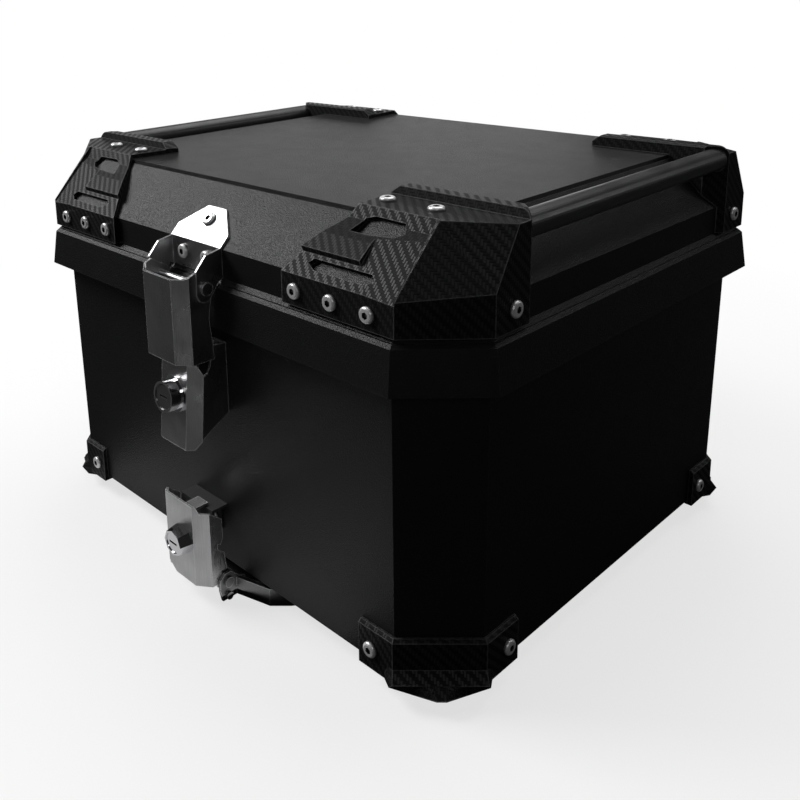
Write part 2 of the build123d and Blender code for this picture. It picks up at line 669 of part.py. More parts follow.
def leaning(shape):
    """Leans a shape drawn upright around the lock's line on the bracket's front."""
    return Pos(0, LOCK_FRONT, LOCK_Z) * Rot(LOCK_LEAN, 0, 0) * Pos(0, -LOCK_FRONT, -LOCK_Z) * shape


def leaning_point(y, z):
    angle = math.radians(LOCK_LEAN)
    dy, dz = y - LOCK_FRONT, z - LOCK_Z
    return (LOCK_FRONT + dy * math.cos(angle) - dz * math.sin(angle),
            LOCK_Z + dy * math.sin(angle) + dz * math.cos(angle))


def hasp_keeper():
    """Upright tongue inside the hasp with a hole for the lock bolt's finger."""
    inside = HASP_FRONT + SHEET
    hole_y, hole_z = leaning_point(BOLT_FRONT + BOLT_T / 2, FINGER_Z)
    left = TONGUE_LEFT
    right = left + TONGUE_T
    pad = block((left, inside, 158.5), (right + 9, inside + SHEET, 170))
    tongue = side_plate([(inside, 158.5), (hole_y + 4.5, 158.5), (hole_y + 4.5, hole_z + 4.2),
                         (hole_y - 4, hole_z + 5.5), (inside, 170)], left, right)
    window = block((left - 1, hole_y - 2.6, hole_z - 2.6), (right + 1, hole_y + 2.6, hole_z + 2.6))
    return pad + tongue - window


def rivet_spots():
    return [((LATCH_X + x, LOCK_BACK - SHEET, z), (0, -1, 0), SHEET + WALL) for x, z in RIVET_SPOTS]


def lock_bracket():
    """Channel riveted to the tub; a slot in its top lets the keeper in, two posts carry the bolt."""
    shape = channel(LOCK_FRONT, LOCK_HALF, CHANNEL_FLAT - 1, LOCK_BACK + 6, LOCK_BOTTOM, LOCK_TOP)
    corner = [(LATCH_X - 30, LOCK_BOTTOM - 1), (LATCH_X - 9, LOCK_BOTTOM - 1),
              (LATCH_X - CHANNEL_FLAT, LOCK_BOTTOM + 1.5), (LATCH_X - 30, LOCK_BOTTOM + 4)]
    shape = shape - front_plate(corner, LOCK_FRONT - 1, LOCK_FRONT + 5)
    profile = [
        (LOCK_FRONT - 1, LOCK_BOTTOM), (LOCK_FRONT + 4, LOCK_BOTTOM + 1), (LOCK_FRONT + 8, LOCK_BOTTOM + 9),
        (-189, 109.5), (LOCK_BACK + 6, 121), (LOCK_BACK + 6, LOCK_TOP), (LOCK_FRONT - 1, LOCK_TOP),
    ]
    shape = trim_sides(shape, profile)
    notch = [(LOCK_FRONT + 2, LOCK_TOP + 1), (LOCK_FRONT + 4, 153.5), (LOCK_FRONT + 7.5, 146.5),
             (LOCK_FRONT + 10, 148), (LOCK_FRONT + 12, 153), (LOCK_FRONT + 13, LOCK_TOP + 1)]
    shape = shape - side_plate(notch, LATCH_X + 16, LATCH_X + 30)
    shape = shape - side_plate(notch, LATCH_X - 30, LATCH_X - 16)
    slot = block((TONGUE_LEFT - 1.2, LOCK_FRONT - 5, HASP_BOTTOM + 0.8),
                 (TONGUE_LEFT + TONGUE_T + 1.2, LOCK_FRONT + 5, LOCK_TOP + 1))
    shape = shape - slot - rod((LOCK_X, LOCK_FRONT - 5, LOCK_Z), (0, 1, 0), THREAD_R + 0.05, 12)
    for x in POST_X:
        back = BOLT_FRONT + BOLT_T + 0.1
        shape = shape + rod((x, LOCK_FRONT + 1, POST_Z), (0, 1, 0), POST_R, back - LOCK_FRONT)
        shape = shape + rod((x, back, POST_Z), (0, 1, 0), POST_R + 1.2, 1.0)
    shape = cut_beyond(leaning(shape), (0, LOCK_BACK, 0), (0, 1, 0))
    for s in (-1, 1):
        edge = s * (LOCK_HALF - SHEET + 0.2)
        flange = block((LATCH_X + min(edge, s * 9), LOCK_BACK - SHEET, 115),
                       (LATCH_X + max(edge, s * 9), LOCK_BACK, LOCK_TOP - 2))
        shape = shape + flange
    return less(shape, [hole(p, n, t, 2.45) for p, n, t in rivet_spots()])


def lock_rivets():
    """Pop rivets holding the bracket's inner flanges to the tub."""
    shapes = []
    for p, n, t in rivet_spots():
        shank = rod(p, backwards(n), 2.4, t + 2.5)
        tail = rod(at(p, n, -t - 0.9), backwards(n), 3.6, 1.6)
        shapes.append(shank + rod(p, n, 4.0, 1.2) + tail)
    return group(shapes)


def lock_barrel(x, z, plate_front, length, octagonal):
    """Lock housing: a tapered octagon or a round barrel with a collar, and a thread behind the plate."""
    out = (0, -1, 0)
    start = (x, plate_front - 0.02, z)
    if octagonal:
        plane = Plane(origin=start, z_dir=out)
        barrel = plane * extrude(RegularPolygon(BARREL_R - 0.6, 8, major_radius=False), length, taper=9)
    else:
        barrel = rod(start, out, BARREL_R, length)
        barrel = barrel + rod(start, out, BARREL_R + 1.6, 1.6)
        barrel = barrel - rod(at(start, out, length), (0, 1, 0), FACE_R + 0.05, FACE_SUNK + FACE_T + 0.1)
    barrel = barrel + rod(start, (0, 1, 0), THREAD_R, 5.2)
    return barrel - rod(at(start, out, 20), (0, 1, 0), PLUG_R + 0.05, 40)


def lock_nut(x, z, plate_back):
    spot = (x, plate_back + 0.02, z)
    return hex_bar(spot, (0, 1, 0), LOCK_NUT_AF, 2.6) - rod(spot, (0, 1, 0), THREAD_R + 0.05, 3)


def lock_plug(x, z, face_y, cam_back, face_r):
    """Turning plug with a key slot; a smaller stub behind carries the cam and its clip."""
    body = rod((x, face_y, z), (0, 1, 0), PLUG_R, cam_back - CAM_T - 0.1 - face_y)
    body = body + rod((x, face_y, z), (0, 1, 0), face_r, FACE_T)
    stub = rod((x, face_y + 1, z), (0, 1, 0), 3.5, cam_back + 0.45 - face_y - 1)
    clip = rod((x, cam_back + 0.05, z), (0, 1, 0), 4.2, 0.45)
    slot = block((x - 4.0, face_y - 1, z - 0.7), (x + 4.0, face_y + 3.5, z + 0.7))
    return body + stub + clip - slot


def lock_cam():
    """Round cam with an eccentric pin that drives the bolt."""
    offset = CRANK_R / math.sqrt(2)
    disc = rod((LOCK_X, CAM_BACK - CAM_T, LOCK_Z), (0, 1, 0), 8.0, CAM_T)
    pin_length = CAM_T + BOLT_T + 2 * BOLT_GAP
    pin = rod((LOCK_X - offset, CAM_BACK - CAM_T, LOCK_Z + offset), (0, 1, 0), CRANK_PIN_R, pin_length)
    return disc + pin - rod((LOCK_X, CAM_BACK - CAM_T - 1, LOCK_Z), (0, 1, 0), 3.55, CAM_T + 2)


def lock_bolt():
    """Sliding plate: slots for the posts, a leg with the crank pin's slot, an arm and the finger."""
    offset = CRANK_R / math.sqrt(2)
    low, high = BOLT_FRONT, BOLT_FRONT + BOLT_T
    end_left = LATCH_X - 19.5
    end_right = LATCH_X + 19.5 - BOLT_TRAVEL
    crank_x = LOCK_X - offset
    shape = block((end_left, low, POST_Z - 4.5), (end_right, high, POST_Z + 4.5))
    shape = shape + block((crank_x - 5.5, low, LOCK_Z + 1.0), (crank_x + 5.5, high, POST_Z - 4))
    shape = shape + block((BAR_RIGHT - 4, low, POST_Z), (BAR_RIGHT, high, FINGER_Z + FINGER / 2))
    finger_low, finger_high = FINGER_Z - FINGER / 2, FINGER_Z + FINGER / 2
    shape = shape + block((BAR_RIGHT - 1, low, finger_low), (TONGUE_LEFT - 2, high, finger_high))
    for x in POST_X:
        slot = block((x - POST_R - 0.05 - BOLT_TRAVEL, low - 1, POST_Z - POST_R - 0.05),
                     (x + POST_R + 0.05, high + 1, POST_Z + POST_R + 0.05))
        shape = shape - slot
    crank_slot = block((crank_x - CRANK_PIN_R - 0.3, low - 1, LOCK_Z + offset - CRANK_PIN_R - 0.5),
                       (crank_x + CRANK_PIN_R + 0.3, high + 1, LOCK_Z + CRANK_R + CRANK_PIN_R + 0.3))
    return shape - crank_slot


# Quick-release: base plate, lever, catch
LEVER_FRONT = -206.0
LEVER_BACK = -181.5
LEVER_PIN_Y = -188.0
LEVER_PIN_Z = -1.3
LEVER_PIN_CAP_R = 3.6
LEVER_TOP = 56.0
LEVER_BOTTOM = -1.5
BASE_LOCK_X = LATCH_X + 4.0
BASE_LOCK_Z = 29.5
BASE_BARREL_LENGTH = 9.2
BASE_CAM_BACK = -184.0
BASE_CAM_LENGTH = 12.2
CATCH_WALL_Y = -175.6
CATCH_T = 2.0
CATCH_SCREW_Z = 31.5
CATCH_TOP = 45.0
CATCH_LIP_Y = -188.5
CATCH_LIP_BOTTOM = 36.5
PLATE_T = 2.5
TRAY_FLOOR = -DECK_HEIGHT
TRAY_TOP = -1.5
BASE_EAR_HALF = 26.6
EAR_T = 2.0
WEIGHT_HOLE_R = 32.0
WEIGHT_HOLE_Y = 10.0


def base_lever():
    """Quick-release lever: a channel on the base plate's pin, with a tab over the catch."""
    shape = channel(LEVER_FRONT, HASP_HALF, CHANNEL_FLAT, LEVER_BACK, LEVER_BOTTOM, LEVER_TOP)
    profile = [
        (LEVER_FRONT - 1, LEVER_BOTTOM), (LEVER_FRONT + 6, LEVER_BOTTOM), (-193.5, -4.4), (-189, -6.4),
        (-184.5, -5.4), (-181.6, -1), (-183, 4), (-187, 8), (-188.5, 20), (-193.5, 24), (-193.5, 28),
        (-191, 26.5), (-189, 31), (-189, 44.5), (-198, 51.5), (LEVER_FRONT + 3, 51.5),
        (LEVER_FRONT + 1.6, LEVER_TOP), (LEVER_FRONT - 1, LEVER_TOP),
    ]
    left = LATCH_X - HASP_HALF
    lower = block((left, -195, -9), (left + SHEET, LEVER_BACK, LEVER_BOTTOM))
    shape = shape + lower + Pos(2 * HASP_HALF - SHEET, 0, 0) * lower
    shape = trim_sides(shape, profile)
    corner = [(LATCH_X - 30, LEVER_BOTTOM - 1), (LATCH_X - CHANNEL_FLAT + 9, LEVER_BOTTOM - 1),
              (LATCH_X - CHANNEL_FLAT, LEVER_BOTTOM + 6), (LATCH_X - CHANNEL_FLAT - 0.5, LEVER_BOTTOM + 6),
              (LATCH_X - 30, LEVER_BOTTOM + 2)]
    shape = shape - front_plate(corner, LEVER_FRONT - 1, LEVER_FRONT + 3)
    tab_z = CATCH_TOP + 0.4
    shape = shape + block((LATCH_X - 6, LEVER_FRONT + 0.5, tab_z), (LATCH_X + 5, -185.5, tab_z + SHEET))
    shape = shape - rod((LATCH_X - 40, LEVER_PIN_Y, LEVER_PIN_Z), (1, 0, 0), PIN_R + 0.05, 80)
    return shape - rod((BASE_LOCK_X, LEVER_FRONT - 5, BASE_LOCK_Z), (0, 1, 0), THREAD_R + 0.05, 10)


def base_lock_cam():
    """Flat cam, drawn unlocked; a quarter turn brings it up behind the catch's lip."""
    reach = BASE_CAM_LENGTH
    arm = front_plate([(BASE_LOCK_X, BASE_LOCK_Z - 4), (BASE_LOCK_X - reach + 3, BASE_LOCK_Z - 4),
                       (BASE_LOCK_X - reach, BASE_LOCK_Z - 1), (BASE_LOCK_X - reach, BASE_LOCK_Z + 3),
                       (BASE_LOCK_X, BASE_LOCK_Z + 4)], BASE_CAM_BACK - CAM_T, BASE_CAM_BACK)
    arm = arm + rod((BASE_LOCK_X, BASE_CAM_BACK - CAM_T, BASE_LOCK_Z), (0, 1, 0), 6.5, CAM_T)
    return arm - rod((BASE_LOCK_X, BASE_CAM_BACK - CAM_T - 1, BASE_LOCK_Z), (0, 1, 0), 3.55, CAM_T + 2)


def catch_spots():
    y = CATCH_WALL_Y - CATCH_T
    grip = CATCH_T - CATCH_WALL_Y + tub_wall_y(CATCH_SCREW_Z) + WALL
    return [((LATCH_X + x, y, CATCH_SCREW_Z), (0, -1, 0), grip) for x in (-15, 0)]


def base_catch():
    """Catch on the tub's front: wall plate, shelf under the lever's tab and a lip for the cam."""
    t = CATCH_T
    left, right = LATCH_X - 21.5, LATCH_X + 13
    wall = block((left, CATCH_WALL_Y - t, CATCH_SCREW_Z - 9), (LATCH_X + 6, CATCH_WALL_Y, CATCH_TOP))
    shelf = block((left, CATCH_LIP_Y, CATCH_TOP - t), (right, CATCH_WALL_Y, CATCH_TOP))
    lip = block((left, CATCH_LIP_Y, CATCH_LIP_BOTTOM), (right, CATCH_LIP_Y + t, CATCH_TOP))
    return less(wall + shelf + lip, screw_holes(catch_spots()))


def base_outline(offset=0.0):
    """Plan of the base plate, symmetric about the latch's middle line at the front."""
    half = [(BASE_EAR_HALF - EAR_T, -183), (56, -174), (66, -164), (104, -112), (104, 118), (84, 138)]
    half = [(x - offset, y + (offset if y < 0 else -offset)) for x, y in half]
    return half + [(-x, y) for x, y in reversed(half)]


BOLT_X = 60.0  # half spacing of the rack bolts
BOLT_Y = 45.0
SLOT_HALF = 3.25
SLOT_LENGTH = 30.0
PAD_R = 12.0
PAD_SPOTS = ((85.0, -85.0), (-85.0, -85.0), (85.0, 100.0), (-85.0, 100.0))
HOOK_X = 52.0
HOOK_W = 16.0
HOOK_T = 2.0


def base_plate():
    """Shallow steel tray bolted to the rack, with ears for the lever's pin and slotted bolt holes."""
    tray = plan_plate(base_outline(), TRAY_FLOOR, TRAY_TOP)
    tray = tray - plan_plate(base_outline(PLATE_T), TRAY_FLOOR + PLATE_T, 1)
    slot = Pos(0, 0, TRAY_FLOOR - 1) * extrude(SlotOverall(SLOT_LENGTH, 2 * SLOT_HALF), PLATE_T + 2)
    for x in (BOLT_X, -BOLT_X):
        for y in (BOLT_Y, -BOLT_Y):
            tray = tray - Pos(x, y, 0) * slot
    tray = tray - Pos(0, WEIGHT_HOLE_Y, TRAY_FLOOR - 1) * extrude(Circle(WEIGHT_HOLE_R), PLATE_T + 2)
    ear_inner = BASE_EAR_HALF - EAR_T
    tray = tray - block((LATCH_X - ear_inner, -195, TRAY_FLOOR - 1), (LATCH_X + ear_inner, -176, 1))
    ear = [(-193, TRAY_FLOOR), (-194.8, -6), (-194.5, 1.5), (-190.5, 5.2), (-185.5, 5.2), (-181.5, 1.5),
           (-178.0, -1.5), (-174, -3), (-174, TRAY_FLOOR)]
    for s in (-1, 1):
        low = LATCH_X + s * BASE_EAR_HALF
        inner = LATCH_X + s * ear_inner
        tray = tray + side_plate(ear, min(low, inner), max(low, inner))
    for s in (-1, 1):
        window = block((s * HOOK_X - HOOK_W / 2 - 1, 130, -9.5), (s * HOOK_X + HOOK_W / 2 + 1, 145, -3.5))
        tray = tray - window
    return tray - rod((LATCH_X - 40, LEVER_PIN_Y, LEVER_PIN_Z), (1, 0, 0), PIN_R, 80)


def base_lever_pin():
    half = BASE_EAR_HALF
    pin = rod((LATCH_X - half - 1.0, LEVER_PIN_Y, LEVER_PIN_Z), (1, 0, 0), PIN_R, 2 * half + 2.0)
    starts = (LATCH_X - half - PIN_CAP_T - 0.1, LATCH_X + half + 0.1)
    caps = [rod((x, LEVER_PIN_Y, LEVER_PIN_Z), (1, 0, 0), LEVER_PIN_CAP_R, PIN_CAP_T) for x in starts]
    return pin + caps[0] + caps[1]


def base_pads():
    """Rubber blocks between the tray and the tub's floor."""
    pad = extrude(Circle(PAD_R), DECK_HEIGHT - PLATE_T - 0.04)
    pads = [Pos(x, y, TRAY_FLOOR + PLATE_T + 0.02) * pad for x, y in PAD_SPOTS]
    return group(pads)


def floor_hooks():
    """Two steel hooks under the tub's floor, their tips through the tray's rear wall."""
    top = -0.02
    tip_low = -8.0
    front, bend, end = 96, 126, 146
    shapes = []
    for s in (-1, 1):
        left, right = s * HOOK_X - HOOK_W / 2, s * HOOK_X + HOOK_W / 2
        pad = block((left, front, -HOOK_T), (right, bend + HOOK_T, top))
        leg = block((left, bend, tip_low), (right, bend + HOOK_T, top))
        tip = block((left, bend, tip_low), (right, end, tip_low + HOOK_T))
        shapes.append(pad + leg + tip)
    return group(shapes)


def base_plate_studs():
    """Two small studs on the ears' outsides that hold the plate's front."""
    shapes = []
    for s in (-1, 1):
        face = LATCH_X + s * (BASE_EAR_HALF + 0.02)
        shapes.append(rod((face, -188.5, -11.0), (s, 0, 0), 2.6, 2.2))
    return group(shapes)


def main():
    guard_spots = everywhere(guard_screw_spots())
    foot_spots = everywhere(foot_screw_spots())
    tub_holes = screw_holes(foot_spots) + screw_holes(hinge_spots(True)) + screw_holes(catch_spots())
    tub_holes += [hole(p, n, t + 2.0) for p, n, t in rivet_spots()]
    lid_holes = screw_holes(guard_spots) + screw_holes(hinge_spots(False))
    lid_holes += screw_holes(bracket_screw_spots())
    guard_screws, guard_nuts = screws_and_nuts(guard_spots)
    foot_screws, foot_nuts = screws_and_nuts(foot_spots)
    bracket_screws, bracket_nuts = screws_and_nuts(bracket_screw_spots())
    catch_screws, catch_nuts = screws_and_nuts(catch_spots())
    tub_leaf_screws, tub_leaf_nuts = screws_and_nuts(hinge_spots(True))
    lid_leaf_screws, lid_leaf_nuts = screws_and_nuts(hinge_spots(False))
    tub_leaves = less(pair(hinge_tub_leaf(), HINGE_X), screw_holes(hinge_spots(True)))
    lid_leaves = less(pair(hinge_lid_leaf(), HINGE_X), screw_holes(hinge_spots(False)))
    face = LOCK_FRONT - BARREL_LENGTH + FACE_SUNK
    base_face = LEVER_FRONT - BASE_BARREL_LENGTH + FACE_SUNK

    nodes = {
        "body_shell": body_shell(tub_holes),
        "floor_mat": floor_mat(),
        "bottom_guard_screws": foot_screws,
        "bottom_guard_nuts": foot_nuts,
        "lock_bracket": lock_bracket(),
        "lock_rivets": lock_rivets(),
        "lock_barrel": leaning(lock_barrel(LOCK_X, LOCK_Z, LOCK_FRONT, BARREL_LENGTH, False)),
        "lock_barrel_nut": leaning(lock_nut(LOCK_X, LOCK_Z, LOCK_FRONT + SHEET)),
        "lock_plug": leaning(lock_plug(LOCK_X, LOCK_Z, face, CAM_BACK, FACE_R)),
        "lock_cam": leaning(lock_cam()),
        "lock_bolt": leaning(lock_bolt()),
        "base_catch": base_catch(),
        "base_catch_screws": catch_screws,
        "base_catch_nuts": catch_nuts,
        "base_plate": base_plate(),
        "base_pads": base_pads(),
        "base_lever_pin": base_lever_pin(),
        "base_plate_studs": base_plate_studs(),
        "floor_hooks": floor_hooks(),
        "base_lever": base_lever(),
        "base_lock_barrel": lock_barrel(BASE_LOCK_X, BASE_LOCK_Z, LEVER_FRONT, BASE_BARREL_LENGTH, True),
        "base_lock_nut": lock_nut(BASE_LOCK_X, BASE_LOCK_Z, LEVER_FRONT + SHEET),
        "base_lock_plug": lock_plug(BASE_LOCK_X, BASE_LOCK_Z, base_face, BASE_CAM_BACK, PLUG_R),
        "base_lock_cam": base_lock_cam(),
        "hinge_leaves_tub": tub_leaves,
        "hinge_leaves_lid": lid_leaves,
        "hinge_pins": pair(hinge_pin(), HINGE_X),
        "hinge_screws_tub": tub_leaf_screws,
        "hinge_nuts_tub": tub_leaf_nuts,
        "hinge_screws_lid": lid_leaf_screws,
        "hinge_nuts_lid": lid_leaf_nuts,
        "lid_shell": lid_shell(lid_holes),
        "lid_seal": lid_seal(),
        "lid_guard_screws": guard_screws,
        "lid_guard_nuts": guard_nuts,
        "rail_right": rail(),
        "rail_left": mirror_x(rail()),
        "lid_bracket": lid_bracket(),
        "lid_bracket_screws": bracket_screws,
        "lid_bracket_nuts": bracket_nuts,
        "hasp_pin": hasp_pin(),
        "hasp": hasp(),
        "hasp_keeper": hasp_keeper(),
    }
    for corner, shape in four_corners(lid_guard()).items():
        nodes["lid_guard_" + corner] = shape
    for corner, shape in four_corners(bottom_guard()).items():
        nodes["bottom_guard_" + corner] = shape
    for name, shape in nodes.items():
        solids = [Pos(0, 0, DECK_HEIGHT) * solid for solid in shape.solids()]
        export_step(group(solids) if len(solids) > 1 else solids[0], f"parts/{name}.step")


main()
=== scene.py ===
import json
import math
import bpy
from mathutils import Matrix, Vector


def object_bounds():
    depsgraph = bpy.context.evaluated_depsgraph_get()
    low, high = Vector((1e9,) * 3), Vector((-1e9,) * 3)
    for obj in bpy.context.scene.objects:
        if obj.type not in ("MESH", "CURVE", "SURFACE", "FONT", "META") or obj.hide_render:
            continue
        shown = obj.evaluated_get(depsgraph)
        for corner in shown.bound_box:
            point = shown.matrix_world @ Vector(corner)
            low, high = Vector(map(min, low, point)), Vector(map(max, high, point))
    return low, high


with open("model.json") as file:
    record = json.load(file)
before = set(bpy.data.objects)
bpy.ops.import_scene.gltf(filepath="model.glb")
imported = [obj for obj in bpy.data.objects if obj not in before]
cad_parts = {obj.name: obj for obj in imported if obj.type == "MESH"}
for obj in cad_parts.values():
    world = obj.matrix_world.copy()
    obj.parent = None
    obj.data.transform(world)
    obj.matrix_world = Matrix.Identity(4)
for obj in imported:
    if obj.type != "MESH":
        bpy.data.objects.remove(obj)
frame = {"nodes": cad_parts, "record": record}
nodes = frame["nodes"]
cad_low, cad_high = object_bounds()

# Finishes


def shaded(color, share):
    return tuple(min(1, channel * share) for channel in color)


class Finish:
    """A principled material with helpers for the procedural nodes that feed it."""

    def __init__(self, name, color, rough, metal=0.0, specular=0.5):
        self.material = bpy.data.materials.new(name)
        self.material.use_nodes = True
        self.tree = self.material.node_tree
        self.shader = self.tree.nodes["Principled BSDF"]
        self.shader.inputs["Base Color"].default_value = (*color, 1)
        self.shader.inputs["Roughness"].default_value = rough
        self.shader.inputs["Metallic"].default_value = metal
        self.shader.inputs["Specular IOR Level"].default_value = specular
        self.place = self.tree.nodes.new("ShaderNodeTexCoord").outputs["Object"]

    def node(self, kind, **settings):
        made = self.tree.nodes.new("ShaderNode" + kind)
        for key, value in settings.items():
            setattr(made, key, value)
        return made

    def link(self, a, b):
        self.tree.links.new(a, b)

    def math(self, operation, a, b=None, c=None):
        made = self.node("Math", operation=operation)
        for index, value in enumerate((a, b, c)):
            if value is None:
                continue
            if isinstance(value, (int, float)):
                made.inputs[index].default_value = value
            else:
                self.link(value, made.inputs[index])
        return made.outputs[0]

    def vector(self, operation, a, b=None):
        made = self.node("VectorMath", operation=operation)
        for index, value in enumerate((a, b)):
            if value is None:
                continue
            if isinstance(value, tuple):
                made.inputs[index].default_value = value
            else:
                self.link(value, made.inputs[index])
        return made.outputs["Value" if operation == "DOT_PRODUCT" else "Vector"]

    def scaled(self, scale):
        return self.vector("MULTIPLY", self.place, scale)

    def noise(self, scale, detail=3.0, stretch=None):
        made = self.node("TexNoise")
        made.inputs["Scale"].default_value = scale
        made.inputs["Detail"].default_value = detail
        self.link(self.scaled(stretch) if stretch else self.place, made.inputs["Vector"])
        return made.outputs[0]

    def cells(self, scale):
        made = self.node("TexVoronoi", feature="F1")
        made.inputs["Scale"].default_value = scale
        self.link(self.place, made.inputs["Vector"])
        return made.outputs["Distance"]

    def ranged(self, value, low, high, to_low, to_high):
        made = self.node("MapRange")
        self.link(value, made.inputs[0])
        for index, number in enumerate((low, high, to_low, to_high)):
            made.inputs[index + 1].default_value = number
        return made.outputs[0]

    def mixed(self, factor, first, second):
        made = self.node("Mix", data_type="RGBA")
        if isinstance(factor, (int, float)):
            made.inputs[0].default_value = factor
        else:
            self.link(factor, made.inputs[0])
        for index, value in ((6, first), (7, second)):
            if isinstance(value, tuple):
                made.inputs[index].default_value = (*value, 1)
            else:
                self.link(value, made.inputs[index])
        return made.outputs[2]

    def color(self, value):
        self.link(value, self.shader.inputs["Base Color"])

    def rough(self, value):
        self.link(value, self.shader.inputs["Roughness"])

    def bump(self, height, distance, strength=1.0, under=None):
        made = self.node("Bump")
        made.inputs["Distance"].default_value = distance
        made.inputs["Strength"].default_value = strength
        self.link(height, made.inputs["Height"])
        if under is not None:
            self.link(under, made.inputs["Normal"])
        self.link(made.outputs[0], self.shader.inputs["Normal"])
        return made.outputs[0]

    def edges(self, radius):
        """1 on edges within radius, 0 on open faces, from the bent normal of a bevel."""
        bevel = self.node("Bevel", samples=4)
        bevel.inputs["Radius"].default_value = radius
        geometry = self.node("NewGeometry")
        same = self.vector("DOT_PRODUCT", bevel.outputs[0], geometry.outputs["Normal"])
        return self.ranged(same, 0.995, 0.93, 0.0, 1.0)

    def occlusion_shade(self, reach):
        """Ambient-occlusion mask for painted shade: 1 deep in a recess, 0 on open faces."""
        shade = self.node("AmbientOcclusion", samples=6)
        shade.inputs["Distance"].default_value = reach
        return self.ranged(shade.outputs["AO"], 0.5, 0.85, 1.0, 0.0)


def face_coordinates(finish):
    """Two distances along the face: level across it and up its slope."""
    geometry = finish.node("NewGeometry")
    turn = finish.node("VectorTransform", vector_type="NORMAL")
    turn.convert_from = "WORLD"
    turn.convert_to = "OBJECT"
    finish.link(geometry.outputs["True Normal"], turn.inputs[0])
    normal = turn.outputs[0]
    level = finish.vector("CROSS_PRODUCT", (0, 0, 1), normal)
    level = finish.vector("ADD", level, (0.001, 0, 0))
    level = finish.vector("NORMALIZE", level)
    slope = finish.vector("CROSS_PRODUCT", normal, level)
    return [finish.vector("DOT_PRODUCT", finish.place, direction) for direction in (level, slope)]


def grained_plastic(name, color, rough, size, depth):
    """Moulded shell: fine leather grain, soft colour variation and edges painted lighter as a
    highlight.
    """
    finish = Finish(name, color, rough, specular=0.24)
    grain = finish.math("ADD", finish.noise(1 / size, 2.0), finish.cells(0.8 / size))
    finish.bump(grain, depth)
    cloud = finish.noise(14.0, 4.0)
    # painted highlight: the rounded edges are coloured 1.9 times lighter
    painted_edge_highlight = finish.edges(0.0012)
    tint = finish.mixed(cloud, shaded(color, 0.8), shaded(color, 1.25))
    finish.color(finish.mixed(painted_edge_highlight, tint, shaded(color, 1.9)))
    finish.rough(finish.ranged(finish.noise(60.0, 5.0), 0.3, 0.7, rough - 0.015, rough + 0.02))
    return finish.material


TOW = 0.0017  # width of one carbon tow


def crown(finish, value):
    """Rounded height across one tow, from the distance in tow widths."""
    middle = finish.math("SUBTRACT", finish.math("FRACT", value), 0.5)
    square = finish.math("MULTIPLY", middle, middle)
    return finish.math("SUBTRACT", 1.0, finish.math("MULTIPLY", square, 4.0))


def twill(name):
    """Two-by-two twill of dark tows under a thin satin lacquer."""
    finish = Finish(name, (0.02, 0.02, 0.022), 0.42, specular=0.13)
    across, up = face_coordinates(finish)
    u = finish.math("DIVIDE", across, TOW)
    v = finish.math("DIVIDE", up, TOW)
    step = finish.math("ADD", finish.math("FLOOR", u), finish.math("FLOOR", v))
    step = finish.math("FLOORED_MODULO", step, 4.0)
    warp = finish.math("LESS_THAN", step, 1.5)
    choose = finish.node("Mix", data_type="FLOAT")
    finish.link(warp, choose.inputs[0])
    finish.link(crown(finish, v), choose.inputs[2])
    finish.link(crown(finish, u), choose.inputs[3])
    height = choose.outputs[0]
    fibres = finish.noise(2600.0, 2.0)
    woven = finish.bump(height, 0.00010, 0.8)
    finish.bump(fibres, 0.00003, 0.6, under=woven)
    # painted shade and sheen: each tow is coloured lighter at its crown than at its edges, and warp
    # tows lighter than weft, as if lit from one side
    dark = finish.mixed(height, (0.002, 0.002, 0.002), (0.006, 0.006, 0.006))
    light = finish.mixed(height, (0.006, 0.006, 0.006), (0.022, 0.022, 0.023))
    cloth_painted_sheen = finish.mixed(warp, dark, light)
    # painted highlight: the rounded guard edges are coloured lighter
    finish.color(finish.mixed(finish.edges(0.0010), cloth_painted_sheen, (0.12, 0.12, 0.122)))
    finish.rough(finish.ranged(warp, 0.0, 1.0, 0.60, 0.38))
    return finish.material


def satin_metal(name, color, rough):
    """Painted steel or aluminium: slight orange peel, dust-dull patches and edges painted lighter as
    a highlight.
    """
    finish = Finish(name, color, rough)
    finish.bump(finish.noise(900.0, 2.0), 0.00006)
    dusty = finish.mixed(finish.noise(25.0, 4.0), color, shaded(color, 1.5))
    # painted highlight: the rounded edges are coloured 2.6 times lighter
    finish.color(finish.mixed(finish.edges(0.0008), dusty, shaded(color, 2.6)))
    finish.rough(finish.ranged(finish.noise(40.0, 5.0), 0.3, 0.7, rough - 0.06, rough + 0.08))
    return finish.material


def brushed(name, color, rough, stretch, depth):
    """Bare stainless sheet: long fine scratches, smudges and edges painted near-white as a
    highlight.
    """
    finish = Finish(name, color, rough, metal=1.0)
    lines = finish.noise(1.0, 3.0, stretch)
    finish.bump(lines, depth)
    smudge = finish.noise(45.0, 4.0)
    shade = finish.mixed(lines, shaded(color, 0.72), shaded(color, 1.15))
    shade = finish.mixed(finish.ranged(smudge, 0.35, 0.75, 0.0, 0.35), shade, shaded(color, 0.6))
    # painted highlight: the rounded edges are coloured near-white and made less metallic so they
    # stay bright
    painted_edge_glint = finish.edges(0.0007)
    finish.color(finish.mixed(painted_edge_glint, shade, (0.9, 0.9, 0.91)))
    finish.link(finish.ranged(painted_edge_glint, 0.0, 1.0, 1.0, 0.25), finish.shader.inputs["Metallic"])
    finish.rough(finish.ranged(smudge, 0.3, 0.7, rough - 0.05, rough + 0.12))
    return finish.material


def bright_metal(name, color, rough):
    """Polished metal with faint handling marks."""
    finish = Finish(name, color, rough, metal=1.0)
    marks = finish.noise(700.0, 4.0)
    finish.bump(marks, 0.00001)
    finish.color(finish.mixed(marks, shaded(color, 0.85), color))
    finish.rough(finish.ranged(finish.noise(150.0, 3.0), 0.3, 0.7, rough * 0.7, rough * 1.6))
    return finish.material


